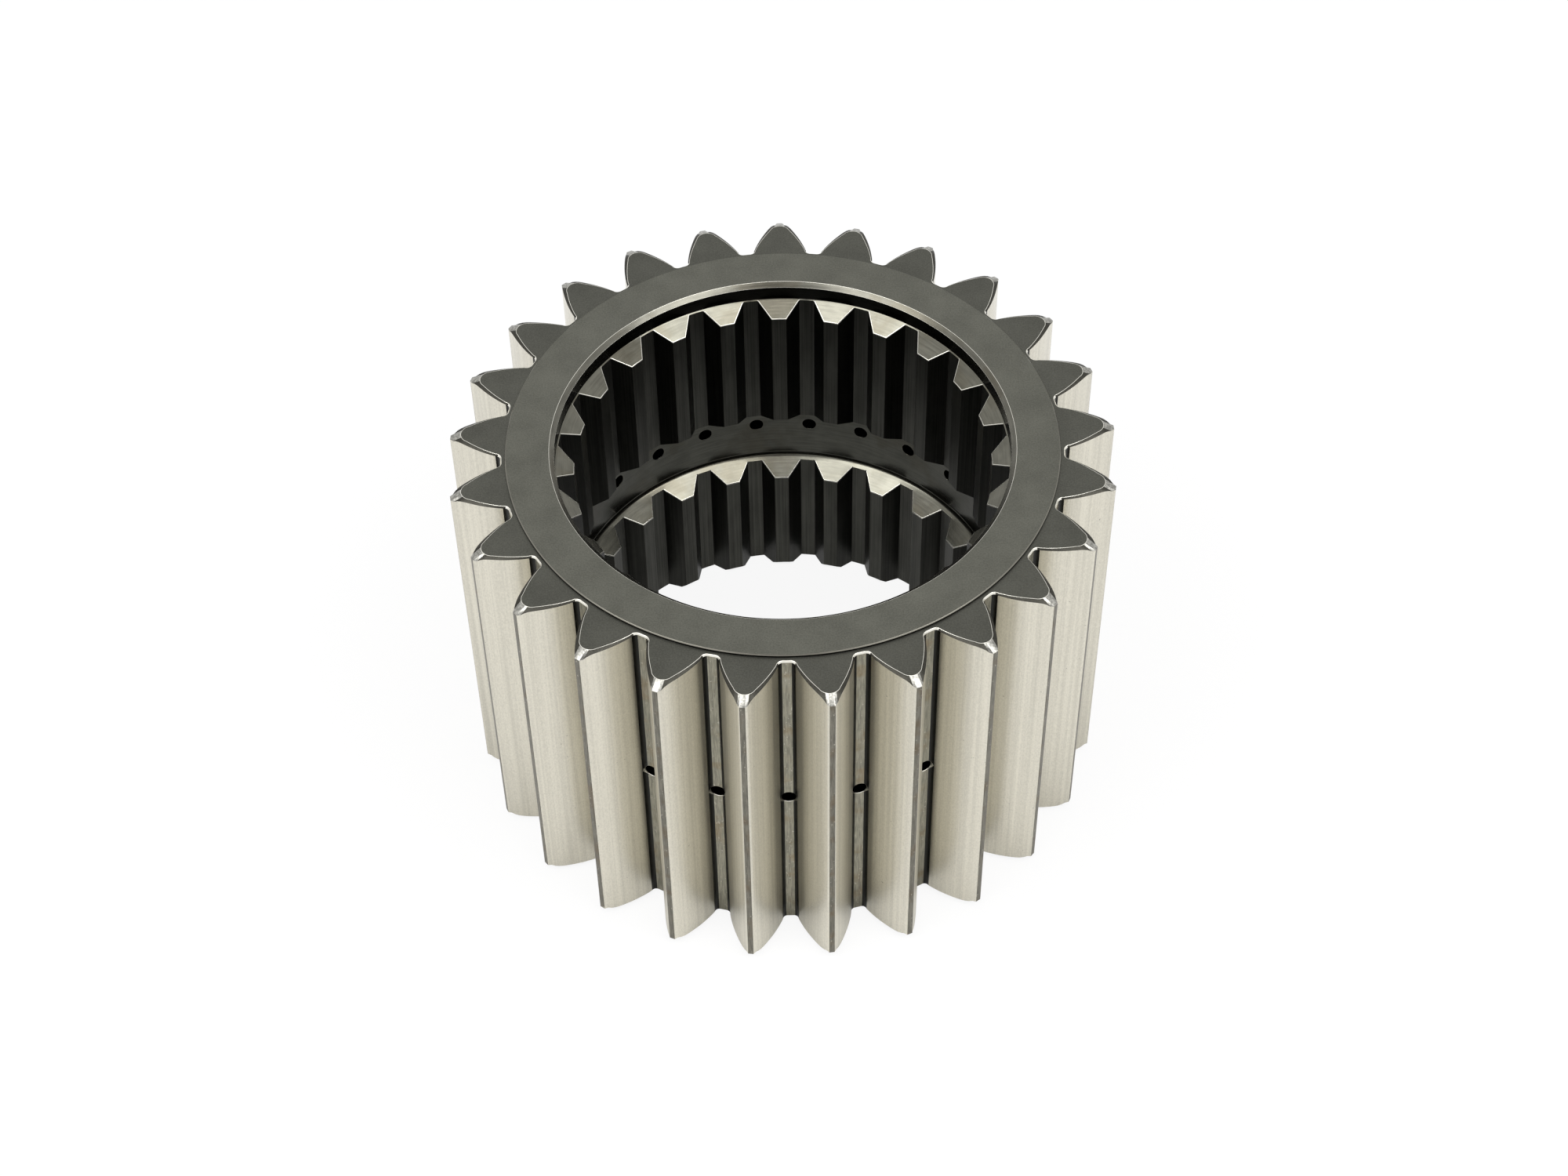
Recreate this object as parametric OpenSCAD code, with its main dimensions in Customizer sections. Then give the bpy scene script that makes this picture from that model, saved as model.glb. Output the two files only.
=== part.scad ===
// Sun gear of a planetary hub: straight outer teeth, two inner splines in line with each other,
// a ring groove between the splines and an oil hole from every tooth gap into that groove.
// The axis is Z and the gear stands on the raised ring of its lower end at z = 0. Sizes are in mm.

/* [Outer teeth] */
// Number of outer teeth
teeth = 25; // [23:1:32]
// Module: the reference circle measures this for every tooth
gear_module = 3.75; // [3.5:0.25:4.5]
// Pressure angle of the outer teeth
pressure_angle = 20; // [18:0.5:23]
// Profile shift, in modules
profile_shift = 1.25; // [1.1:0.05:1.3]
// Tooth height outside the shifted reference circle
addendum = 3.44; // [3:0.02:3.6]
// Tooth height inside the shifted reference circle
dedendum = 5.16; // [4.6:0.04:5.4]
// Radial height of the narrow bevel between a flank and the tip
tip_bevel = 0.5; // [0.3:0.05:0.6]
// Length of the outer teeth along the axis
face_width = 69; // [60:0.5:90]
// Corner radius between the tooth root and the flanks
root_radius = 0.6; // [0.4:0.05:0.7]

/* [Chamfered tooth ends] */
// Width of the chamfer at the tooth roots; it widens from there up the flanks
root_chamfer_w = 0.2; // [0.1:0.05:0.3]
// Width of the chamfer on the flanks where it reaches the nose
flank_chamfer_w = 0.6; // [0.4:0.05:0.7]
// Axial length of the chamfer along the roots and the flanks
flank_chamfer_length = 0.3; // [0.2:0.05:0.6]
// Radial depth of the chamfer on a tip
tip_chamfer_depth = 1.8; // [1.6:0.05:2]
// Axial length of the chamfer on a tip
tip_chamfer_length = 0.95; // [0.8:0.05:1.5]
// Width of the chamfer on a tip
tip_chamfer_w = 1.7; // [1.2:0.1:1.8]
// Radius of the nose in which the flat end of a tooth stops
nose_radius = 1.75; // [1.6:0.05:1.9]
// Radial distance below the tip where the flat end's flank turns into the nose
nose_length = 2.5; // [2.4:0.1:2.8]

/* [Raised rings] */
// Height of each ring past the ends of the teeth
ring_rise = 0.5; // [0.2:0.1:2]
// Width of the step between a ring and the tooth roots
ring_margin = 0.8; // [0.5:0.1:2]
// Broken outer edge of a ring
ring_edge = 0.15; // [0.05:0.05:0.15]

/* [Round mouth of the bore] */
// Diameter of the mouth above the upper spline
mouth_d = 75.2; // [75:0.1:76]
// Depth of the mouth from the ring down to the upper spline
mouth_depth = 3.3; // [2:0.1:8]
// Width of the chamfer round the mouth's edge
mouth_chamfer_w = 0.9; // [0.4:0.1:1.2]
// Depth of the chamfer round the mouth's edge
mouth_chamfer_depth = 0.7; // [0.4:0.1:1.2]

/* [Splines] */
// Number of spline teeth
spline_teeth = 24; // [20:1:24]
// Diameter across the spline roots
spline_root_d = 74.8; // [74:0.1:74.8]
// Diameter across the spline tips
spline_tip_d = 69.2; // [68:0.1:70]
// Width of a spline gap at its root
gap_root_w = 2.6; // [2:0.1:3]
// Width of a spline gap at the tips of the spline teeth
gap_tip_w = 6.3; // [5.5:0.1:6.6]
// Turn of the splines against the outer teeth, in degrees
spline_turn = 0.6; // [0:0.1:7]
// Slope of the upper ends of both splines, in degrees from level
lead_angle = 35; // [20:1:45]
// Slope of the lower end of the upper spline, in degrees from level
run_out_angle = 28; // [15:1:40]
// Chamfer on the tips of the lower spline at the lower face
foot_chamfer = 0.8; // [0.2:0.1:1.5]

/* [Ring groove and oil holes] */
// Height of the upper end of the lower spline, at its root
lower_spline_top = 26.3; // [20:0.1:27.5]
// Height of the lower end of the upper spline, at its root
upper_spline_foot = 38.1; // [37.5:0.1:50]
// Diameter of the ring groove
groove_d = 76.8; // [76.4:0.1:79]
// Corner radius at the foot of the groove
groove_radius = 2; // [1:0.1:2.4]
// Diameter of an oil hole
oil_hole_d = 2.4; // [1.5:0.1:2.5]
// Height of the oil holes
oil_hole_z = 34.8; // [32.5:0.1:36.2]

/* [Hidden] */
steel = [0.66, 0.65, 0.60];

// How many straight pieces make up each curved stretch
flank_steps = 8;
corner_steps = 3;
hole_sides = 24;
$fn = 144;

// Distance by which a cutting shape runs past what it cuts
past = 1;

// Length of a chamfer's cut as a multiple of the chamfer, so that it runs past both of its edges
chamfer_run = 1.5;

// Degrees in one radian
radian = 180 / PI;

tooth_pitch = 360 / teeth;
spline_pitch = 360 / spline_teeth;
shifted_r = gear_module * (teeth / 2 + profile_shift);
tip_r = shifted_r + addendum;
root_r = shifted_r - dedendum;
base_r = gear_module * teeth / 2 * cos(pressure_angle);
flank_foot_r = max(base_r, root_r + root_radius);
height = face_width + 2 * ring_rise;
ring_r = root_r - ring_margin;
mouth_r = mouth_d / 2;
groove_r = groove_d / 2;
spline_root_r = spline_root_d / 2;
spline_tip_r = spline_tip_d / 2;

// Half of the angle that a tooth fills on the base circle
base_half_angle = 90 / teeth + involute(pressure_angle)
    + 2 * profile_shift * tan(pressure_angle) / teeth * radian;

// The involute function of a pressure angle, in degrees
function involute(angle) = tan(angle) * radian - angle;

// Half of the angle that a tooth fills at radius r
function half_tooth(r) = base_half_angle - involute(acos(min(1, base_r / r)));

function polar(r, angle) = [r * cos(angle), r * sin(angle)];

// One flank as [radius, half angle], from the root up past the tip circle
function root_corner() = [
    for (i = [0 : corner_steps - 1]) let (turn = 90 * i / corner_steps) [
        root_r + (flank_foot_r - root_r) * (1 - cos(turn)),
        half_tooth(flank_foot_r) + root_radius / root_r * radian * (1 - sin(turn))
    ]
];
function flank() = let (rise = tip_r - tip_bevel - flank_foot_r) concat(
    [for (i = [0 : flank_steps]) let (r = flank_foot_r + rise * i / flank_steps) [r, half_tooth(r)]],
    [[tip_r, half_tooth(tip_r)]]
);

// Outline of all the teeth; a tooth lies on the +Y axis
function tooth_outline() = let (side = concat(root_corner(), flank()), last = len(side) - 1) [
    for (k = [0 : teeth - 1]) each concat(
        [for (i = [0 : last]) polar(side[i][0], 90 + k * tooth_pitch - side[i][1])],
        [polar(tip_r + past, 90 + k * tooth_pitch)],
        [for (i = [last : -1 : 0]) polar(side[i][0], 90 + k * tooth_pitch + side[i][1])]
    )
];

// A point of half a tooth's outline, moved into the tooth by the width of the chamfer there
function drawn_in(half, i) = let (
    before = half[max(i - 1, 0)],
    after = half[min(i + 1, len(half) - 1)],
    way = (after - before) / norm(after - before),
    share = (norm(half[i]) - root_r) / (tip_r - nose_length - root_r)
) half[i] + (root_chamfer_w + (flank_chamfer_w - root_chamfer_w) * share) * [way[1], -way[0]];

// Half a tooth lying on +X, from the root to the tip: [outline, flat end, length of the chamfer] a point
function half_end() = let (
    side = concat(root_corner(), flank()),
    half = [for (s = side) polar(s[0], s[1])],
    last = len(half) - 2,
    tip = half[last + 1],
    first = min([for (i = [0 : last]) if (side[i][0] > tip_r - nose_length) i]),
    centre = [tip_r - tip_chamfer_depth - nose_radius, 0],
    start = drawn_in(half, first - 1) - centre,
    low_turn = atan2(start[1], start[0]),
    high_turn = asin(tip_chamfer_w / 2 / nose_radius)
) concat(
    [for (i = [0 : last]) let (share = max(0, (i - first + 1) / (last - first + 1))) [
        half[i],
        i < first ? drawn_in(half, i) : centre + polar(
            norm(start) + (nose_radius - norm(start)) * share,
            low_turn + (high_turn - low_turn) * share
        ),
        flank_chamfer_length + (tip_chamfer_length - flank_chamfer_length) * pow(share, 3)
    ]],
    [[tip, centre + polar(nose_radius, asin(tip[1] / nose_radius)), tip_chamfer_length]]
);

// The same for the whole tooth, from one root over the tip to the other root
function tooth_end() = let (half = half_end(), last = len(half) - 1) concat(
    [for (i = [0 : last]) [[half[i][0][0], -half[i][0][1]], [half[i][1][0], -half[i][1][1]], half[i][2]]],
    [[[tip_r, 0], [tip_r - tip_chamfer_depth, 0], tip_chamfer_length]],
    [for (i = [last : -1 : 0]) half[i]]
);

// A point on the chamfer at the lower end: 0 on the outline, 1 on the flat end, and past both
function on_chamfer(it, share, angle) = let (flat = it[0] + (it[1] - it[0]) * share)
    concat(turned(flat[0], flat[1], angle), it[2] * (1 - share));

// A point on a spline gap's flank, at distance y from the axis along the gap's middle
function gap_half_width(y) = gap_root_w / 2
    + (gap_tip_w - gap_root_w) / 2 * (spline_root_r - y) / (spline_root_r - spline_tip_r);

function turned(x, y, angle) = [x * cos(angle) - y * sin(angle), x * sin(angle) + y * cos(angle)];

// Outline of the space inside a spline; its inner corners lie inside the tip circle
function spline_outline() = let (inner = spline_tip_r - past / 2) [
    for (k = [0 : spline_teeth - 1]) let (angle = spline_turn + (k + 0.5) * spline_pitch) each [
        turned(gap_half_width(inner), inner, angle),
        turned(gap_half_width(spline_root_r), spline_root_r, angle),
        turned(-gap_half_width(spline_root_r), spline_root_r, angle),
        turned(-gap_half_width(inner), inner, angle)
    ]
];

// The space that the chamfers leave to the teeth: past the chamfers its walls stand clear of the teeth
module chamfered_ends() {
    tooth = tooth_end();
    count = teeth * len(tooth);
    out = 1 - chamfer_run;
    over = flank_chamfer_length * (chamfer_run - 1) / 2;
    foot = [for (k = [0 : teeth - 1]) for (it = tooth)
        on_chamfer(it, 1 + over / it[2], 90 + k * tooth_pitch)];
    side = [for (k = [0 : teeth - 1]) for (it = tooth) on_chamfer(it, out, 90 + k * tooth_pitch)];
    rings = [
        foot, side,
        [for (p = side) [p[0], p[1], face_width - p[2]]],
        [for (p = foot) [p[0], p[1], face_width - p[2]]]
    ];
    polyhedron(
        points = [for (ring = rings) each ring],
        faces = concat(
            [[for (i = [0 : count - 1]) i]],
            [for (j = [0 : 2]) for (i = [0 : count - 1]) let (
                a = j * count + i, b = j * count + (i + 1) % count
            ) each [[a, a + count, b], [b, a + count, b + count]]],
            [[for (i = [count - 1 : -1 : 0]) 3 * count + i]]
        )
    );
}

// One turned body inside the teeth, whose ends are the two raised rings
module rings() {
    rotate_extrude()
        polygon([
            [0, 0],
            [ring_r - ring_edge, 0],
            [ring_r, ring_edge],
            [ring_r, height - ring_edge],
            [ring_r - ring_edge, height],
            [0, height]
        ]);
}

// Round mouth with its chamfer, ending in the sloping ends of the upper spline teeth
module mouth_space() {
    floor_z = height - mouth_depth;
    inner_r = spline_tip_r - past;
    rotate_extrude()
        polygon([
            [0, floor_z - (mouth_r - inner_r) * tan(lead_angle)],
            [inner_r, floor_z - (mouth_r - inner_r) * tan(lead_angle)],
            [mouth_r, floor_z],
            [mouth_r, height - mouth_chamfer_depth],
            [mouth_r + mouth_chamfer_w * chamfer_run, height + mouth_chamfer_depth * (chamfer_run - 1)],
            [0, height + mouth_chamfer_depth * (chamfer_run - 1)]
        ]);
}

// Ring groove: a round lower corner runs into the sloping upper ends of the lower spline teeth
module groove_space() {
    inner_r = spline_tip_r - past;
    sweep = 90 - lead_angle;
    corner = [for (i = [0 : 2 * corner_steps]) let (turn = sweep * i / (2 * corner_steps))
        [groove_r - groove_radius * (1 - cos(turn)), -groove_radius * sin(turn)]];
    foot = corner[2 * corner_steps];
    // Height at which the round corner starts, so that the slope passes through the spline's root
    corner_z = lower_spline_top + (foot[0] - spline_root_r) * tan(lead_angle) - foot[1];
    rotate_extrude()
        polygon(concat(
            [[0, upper_spline_foot + (spline_root_r - inner_r) * tan(run_out_angle)],
             [0, lower_spline_top - (spline_root_r - inner_r) * tan(lead_angle)],
             [inner_r, lower_spline_top - (spline_root_r - inner_r) * tan(lead_angle)]],
            [for (i = [2 * corner_steps : -1 : 0]) [corner[i][0], corner_z + corner[i][1]]],
            [[groove_r, upper_spline_foot],
             [spline_root_r, upper_spline_foot],
             [inner_r, upper_spline_foot + (spline_root_r - inner_r) * tan(run_out_angle)]]
        ));
}

module spline_space() {
    translate([0, 0, -past])
        linear_extrude(height - mouth_depth + past)
            polygon(spline_outline());
    translate([0, 0, -past])
        cylinder(r = spline_tip_r, h = height + 2 * past);
    translate([0, 0, -past])
        cylinder(r1 = spline_tip_r + foot_chamfer + past, r2 = spline_tip_r, h = foot_chamfer + past);
}

module oil_holes() {
    inner_r = groove_r - past;
    for (k = [0 : teeth - 1])
        rotate([0, 0, 90 + (k + 0.5) * tooth_pitch])
            translate([inner_r, 0, oil_hole_z])
                rotate([0, 90, 0])
                    cylinder(d = oil_hole_d, h = root_r + root_radius + past - inner_r, $fn = hole_sides);
}

module sun_gear() {
    color(steel)
        difference() {
            union() {
                translate([0, 0, ring_rise])
                    intersection() {
                        cylinder(r = tip_r, h = face_width);
                        linear_extrude(face_width)
                            polygon(tooth_outline());
                        chamfered_ends();
                    }
                rings();
            }
            mouth_space();
            groove_space();
            spline_space();
            oil_holes();
        }
}

sun_gear();
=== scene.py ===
"""A sun gear on a plain studio floor.

The gear is one closed mesh: an outer ring of involute teeth, an inner ring of two splines with a
groove between them, and an oil hole in every tooth gap. Small bevels carry the light along its
edges, most with a pale painted highlight, and every kind of surface has a tone of its own, in
corners, walls and the bore's splines a dark painted shade. Lengths are in metres.
"""

import math

import bmesh
import bpy
from bpy.props import FloatProperty, FloatVectorProperty, IntProperty, PointerProperty
from mathutils import Matrix, Vector


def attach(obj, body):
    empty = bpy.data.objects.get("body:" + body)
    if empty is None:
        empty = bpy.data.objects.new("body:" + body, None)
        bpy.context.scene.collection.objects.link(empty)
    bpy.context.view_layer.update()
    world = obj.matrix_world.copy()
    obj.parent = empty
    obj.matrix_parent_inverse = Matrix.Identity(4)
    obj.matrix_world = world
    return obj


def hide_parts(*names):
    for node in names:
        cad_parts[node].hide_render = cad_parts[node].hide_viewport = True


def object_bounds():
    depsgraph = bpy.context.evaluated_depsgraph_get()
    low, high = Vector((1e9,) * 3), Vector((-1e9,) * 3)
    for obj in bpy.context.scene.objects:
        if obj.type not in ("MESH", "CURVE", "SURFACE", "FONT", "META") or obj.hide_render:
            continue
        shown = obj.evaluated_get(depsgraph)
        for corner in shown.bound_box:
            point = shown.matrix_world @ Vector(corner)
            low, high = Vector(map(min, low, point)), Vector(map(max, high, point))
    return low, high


bl_info = {
    "name": "Sun gear",
    "version": (1, 0, 0),
    "blender": (4, 5, 0),
    "location": "View3D > Sidebar > Sun gear",
    "description": "Builds a sun gear with inner splines, ground teeth and oil holes",
    "category": "Object",
}

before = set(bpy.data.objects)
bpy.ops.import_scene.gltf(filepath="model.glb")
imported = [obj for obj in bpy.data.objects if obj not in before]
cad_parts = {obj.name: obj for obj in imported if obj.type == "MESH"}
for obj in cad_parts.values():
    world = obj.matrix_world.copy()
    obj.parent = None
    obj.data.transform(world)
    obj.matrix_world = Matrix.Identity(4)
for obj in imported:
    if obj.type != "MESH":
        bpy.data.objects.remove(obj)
CAD_LOW, CAD_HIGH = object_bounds()
HEIGHT = CAD_HIGH.z - CAD_LOW.z

MM = 0.001
# Two points closer together than this are one point
SAME = 1e-6
# Two lengths that differ by less than this are equal
NEAR = 10 * SAME

# How much of a face's normal lies along the axis on a flat end, and at least on a slope
FLAT, SLOPING = 0.99, 0.2
# Edges that bend by more than the first are rounded, and past the second they shade sharp
ROUNDED_BEND, SHARP_BEND = math.radians(20), math.radians(50)

# How near to a surface the middle of a face or edge lies when it belongs to that surface
ON_RADIUS, ON_GAP_FLOOR, ON_SPLINE_ROOT = 0.1 * MM, 0.03 * MM, 0.05 * MM
# How far a spline's sloping end may reach below its top, and above it beside the groove
CONE_DROP, CONE_RISE = 3 * MM, 1 * MM
# How far the rim of an oil hole may reach from the hole's height
HOLE_REACH = 3 * MM
# How far the drills and the countersink reach past the metal
DRILL_PAST, CONE_PAST = 1 * MM, 0.5 * MM


def length(name, description, millimetres):
    """A property that holds a length."""
    return FloatProperty(
        name=name, description=description, default=millimetres * MM, unit="LENGTH", precision=5
    )


def angle(name, description, degrees):
    """A property that holds an angle."""
    return FloatProperty(
        name=name, description=description, default=math.radians(degrees), subtype="ANGLE"
    )


def colour(name, description, value):
    """A property that holds a colour, as it shows on a screen."""
    return FloatVectorProperty(
        name=name, description=description, default=value, size=3, min=0, max=1, subtype="COLOR_GAMMA"
    )


class GearSizes(bpy.types.PropertyGroup):
    """The gear's form, as in its solid, with its small corners and rounded edges as they catch light."""

    teeth: IntProperty(name="Teeth", description="Number of outer teeth", default=25, min=8)
    module: length("Module", "Reference diameter for every outer tooth", 3.75)
    pressure_angle: angle("Pressure angle", "Pressure angle of the outer teeth", 20)
    shift: FloatProperty(name="Profile shift", description="In modules", default=1.25)
    tip_radius: length("Tip radius", "Radius of the outer teeth at their tips", 55.0025)
    root_radius: length("Root radius", "Radius of the gaps between the outer teeth", 46.4025)
    root_corner: length("Root corner", "Corner radius between root and flank", 0.8)
    tip_bevel: length("Tip bevel", "Radial height of the bevel between flank and tip", 0.5)
    root_chamfer: length("Root chamfer", "Width of the end chamfer at the tooth roots", 0.2)
    flank_chamfer: length("Flank chamfer", "Width of the end chamfer on the flanks at the nose", 0.6)
    chamfer_length: length("Chamfer length", "Axial length of the chamfer along the flanks", 0.3)
    nose_depth: length("Tip chamfer depth", "Radial depth of the chamfer on a tip", 1.8)
    nose_drop: length("Tip chamfer length", "Axial length of the chamfer on a tip", 0.95)
    facet_width: length("Tip chamfer width", "Width of the chamfer on a tip", 1.7)
    nose_radius: length("Nose radius", "Radius of the nose where a tooth's flat end stops", 1.75)
    nose_length: length("Nose length", "Radial distance below the tip where the nose starts", 2.5)
    ring_rise: length("Ring rise", "Height of a raised ring past the teeth", 0.5)
    ring_radius: length("Ring radius", "Outer radius of the raised rings", 45.6025)
    ring_edge: length("Ring edge", "Broken edge of a raised ring", 0.15)
    mouth_radius: length("Mouth radius", "Radius of the bore's round mouth", 37.6)
    mouth_depth: length("Mouth depth", "Depth of the round mouth", 3.3)
    mouth_chamfer: length("Mouth chamfer", "Width of the chamfer round the mouth", 0.8)
    mouth_drop: length("Mouth chamfer depth", "Depth of the chamfer round the mouth", 0.7)
    spline_teeth: IntProperty(name="Spline teeth", description="Teeth of a spline", default=24)
    spline_root: length("Spline root", "Radius of the splines at their roots", 37.4)
    spline_tip: length("Spline tip", "Radius of the splines at their tips", 34.6)
    gap_root: length("Gap at the root", "Width of a spline gap at its root", 2.6)
    gap_tip: length("Gap at the tips", "Width of a spline gap at the tips", 6.3)
    spline_turn: angle("Spline turn", "Turn of the splines against the outer teeth", 0.6)
    lead: angle("Lead slope", "Slope of the upper ends of the splines", 35)
    run_out: angle("Run-out slope", "Slope of the lower end of the upper spline", 28)
    lower_top: length("Lower spline top", "Height of the lower spline's upper end", 26.3)
    upper_foot: length("Upper spline foot", "Height of the upper spline's lower end", 38.1)
    groove_radius: length("Groove radius", "Radius of the ring groove", 38.4)
    groove_corner: length("Groove corner", "Corner radius at the foot of the groove", 1.2)
    foot_chamfer: length("Foot chamfer", "Chamfer on the spline tips at the lower face", 0.8)
    hole_radius: length("Oil hole radius", "Radius of an oil hole", 1.2)
    hole_height: length("Oil hole height", "Height of the oil holes", 34.8)
    hole_edge: length("Oil hole edge", "Broken edges of an oil hole", 0.08)
    spline_edge: length("Spline edge", "Rounding of the splines' edges", 0.18)
    cone_edge: length("Cone edge", "Bright rounding round the upper ends of the splines", 0.12)
    mouth_edge: length("Mouth edge", "Bright rounding beside the chamfer of the mouth", 0.03)
    end_edge: length("End edge", "Bright rounding round the teeth's flat ends", 0.035)
    tip_edge: length("Tip edge", "Bright rounding on both sides of a tooth's tip", 0.15)
    fine_edge: length("Fine edge", "Rounding of all the other edges", 0.08)


class GearColours(bpy.types.PropertyGroup):
    """The tone of each finish."""

    ring: colour("Ring", "Lapped face of the raised rings", (0.39, 0.39, 0.36))
    step: colour("Step", "Broken outer edges of the raised rings", (0.5, 0.49, 0.455))
    end: colour("Tooth end", "Flat ends of the outer teeth", (0.335, 0.335, 0.31))
    flank: colour("Flank", "Ground flanks of the outer teeth", (0.8, 0.785, 0.735))
    tip: colour("Tip", "Tips of the outer teeth", (0.43, 0.42, 0.385))
    facet: colour("Tip facet", "Chamfers on the tips of the outer teeth", (0.62, 0.615, 0.59))
    bevel: colour("End chamfer", "Chamfers along the ends of the flanks", (0.25, 0.245, 0.225))
    root: colour("Root", "Milled floor of the gaps between the outer teeth", (0.53, 0.52, 0.465))
    # The corner tone is painted shade, dark in the root corners and on the walls of the rings
    corner: colour("Root corner", "Corners beside gap floors, and walls of the rings", (0.12, 0.12, 0.11))
    mouth: colour("Mouth", "Turned chamfer round the bore's mouth", (0.4, 0.395, 0.365))
    # This tone is painted shade, dark on the mouth's wall and inside the oil holes
    wall: colour("Wall", "Walls of the bore's mouth and of the oil holes", (0.18, 0.18, 0.165))
    # The spline and land tones are darkened as painted shade deep in the bore, the flanks more than the
    # lands
    spline: colour("Spline flank", "Broached flanks of the splines", (0.2, 0.2, 0.185))
    land: colour("Spline land", "Tips and roots of the splines", (0.285, 0.285, 0.265))
    cone: colour("Cone", "Turned ends of the splines", (0.41, 0.405, 0.37))
    groove: colour("Groove", "Turned ring groove", (0.33, 0.33, 0.305))
    # The edge tone is a painted highlight on the bright rounded edges, the hole rims and the root chamfers
    edge: colour("Edge", "Rounded edges, rubbed bright", (0.92, 0.91, 0.87))


# The order of the material slots on the gear
FINISHES = (
    "ring", "step", "end", "flank", "tip", "facet", "bevel", "root", "corner", "mouth", "wall",
    "spline", "land", "cone", "groove", "edge",
)

# The rounded edges in the order in which they are made, and whether they get the edge tone, a painted
# highlight
ROUNDED = (
    ("tip_edge", True), ("cone_edge", True), ("mouth_edge", True), ("end_edge", True),
    ("spline_edge", False), ("fine_edge", False),
)

# The finishes that the cutters leave, in the order of their material slots
CUT_FINISHES = ("wall", "edge", "cone")

WHITE = (1.0, 1.0, 1.0, 1.0)
PAPER = (0.95, 0.95, 0.95, 1.0)
BLACK = (0.02, 0.02, 0.02, 1.0)

FLOOR_RADIUS = 6.0
# The floor lies a hair below the gear, so that no two faces share a plane
FLOOR_DROP = 0.1 * MM

# The lamps: name, place, width and power
LAMPS = (
    ("light_left", (-0.46, -0.35, 0.94), 0.5, 3.1),
    ("light_right", (0.46, -0.35, 0.94), 0.5, 3.1),
    ("light_side_left", (-0.93, -0.36, 0.94), 0.3, 1.1),
    ("light_side_right", (0.93, -0.36, 0.94), 0.3, 1.1),
    ("light_tips_left", (-0.14, -0.34, 1.05), 0.17, 0.55),
    ("light_tips_right", (0.14, -0.34, 1.05), 0.17, 0.55),
)

CARD_RADIUS = 0.11
CARD_PLACE = (0.0, -0.335, 0.422)

# The camera's place in metres, its turn in degrees, and its lens in millimetres
CAMERA_PLACE = (0.0, -0.32196, 0.40513)
CAMERA_TURN = (41.1774, -0.2662, -1.4784)
LENS, SENSOR_WIDTH = 64.854, 36.0
LENS_SHIFT = (-0.0377, -0.0096)


def polar(radius, turn, z=0.0):
    """A point at a radius, turned from +Y towards +X."""
    return Vector((radius * math.sin(turn), radius * math.cos(turn), z))


def radius_of(point):
    """How far a point lies from the axis."""
    return math.hypot(point.x, point.y)


def involute(pressure):
    """The angle that an involute has turned where its pressure angle is this."""
    return math.tan(pressure) - pressure


def half_tooth(sizes, radius):
    """Half of the angle that an outer tooth fills at a radius."""
    base = sizes.module * sizes.teeth / 2 * math.cos(sizes.pressure_angle)
    at_base = (
        math.pi / 2 / sizes.teeth
        + involute(sizes.pressure_angle)
        + 2 * sizes.shift * math.tan(sizes.pressure_angle) / sizes.teeth
    )
    return at_base - involute(math.acos(min(1.0, base / radius)))


def tooth_side(sizes, corner_steps=6, flank_steps=14):
    """Radius and angle along one side of a tooth, from the middle of the gap up to the tip."""
    foot = sizes.root_radius + sizes.root_corner
    corner_turn = sizes.root_corner / sizes.root_radius
    side = [(sizes.root_radius, math.pi / sizes.teeth)]
    for i in range(corner_steps):
        turn = math.pi / 2 * i / corner_steps
        side.append((
            sizes.root_radius + sizes.root_corner * (1 - math.cos(turn)),
            half_tooth(sizes, foot) + corner_turn * (1 - math.sin(turn)),
        ))
    for i in range(flank_steps + 1):
        radius = foot + (sizes.tip_radius - sizes.tip_bevel - foot) * i / flank_steps
        side.append((radius, half_tooth(sizes, radius)))
    return side + [(sizes.tip_radius, half_tooth(sizes, sizes.tip_radius))]


def copy_round(bm, count):
    """Repeats everything in the mesh round the axis and joins the copies."""
    bmesh.ops.spin(
        bm, geom=bm.verts[:] + bm.edges[:] + bm.faces[:], axis=(0, 0, 1),
        angle=2 * math.pi * (count - 1) / count, steps=count - 1, use_duplicate=True,
    )
    bmesh.ops.remove_doubles(bm, verts=bm.verts[:], dist=SAME)


def open_edges(bm, radius, z):
    """The open edges that lie on a circle round the axis."""
    def on_circle(point):
        return abs(radius_of(point) - radius) < NEAR and abs(point.z - z) < NEAR

    return [e for e in bm.edges if e.is_boundary and all(on_circle(v.co) for v in e.verts)]


def verts_in(geometry):
    """The vertices in what a bmesh operator made."""
    return [g for g in geometry if isinstance(g, bmesh.types.BMVert)]


def rim(bm, edges, radius, z):
    """Extrudes a circle of edges to another radius and height, and gives the new circle."""
    made = bmesh.ops.extrude_edge_only(bm, edges=edges)["geom"]
    new = set(verts_in(made))
    for v in new:
        flat = v.co.xy.normalized() * radius
        v.co = (flat.x, flat.y, z)
    return [g for g in made if isinstance(g, bmesh.types.BMEdge) and all(v in new for v in g.verts)]


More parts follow.
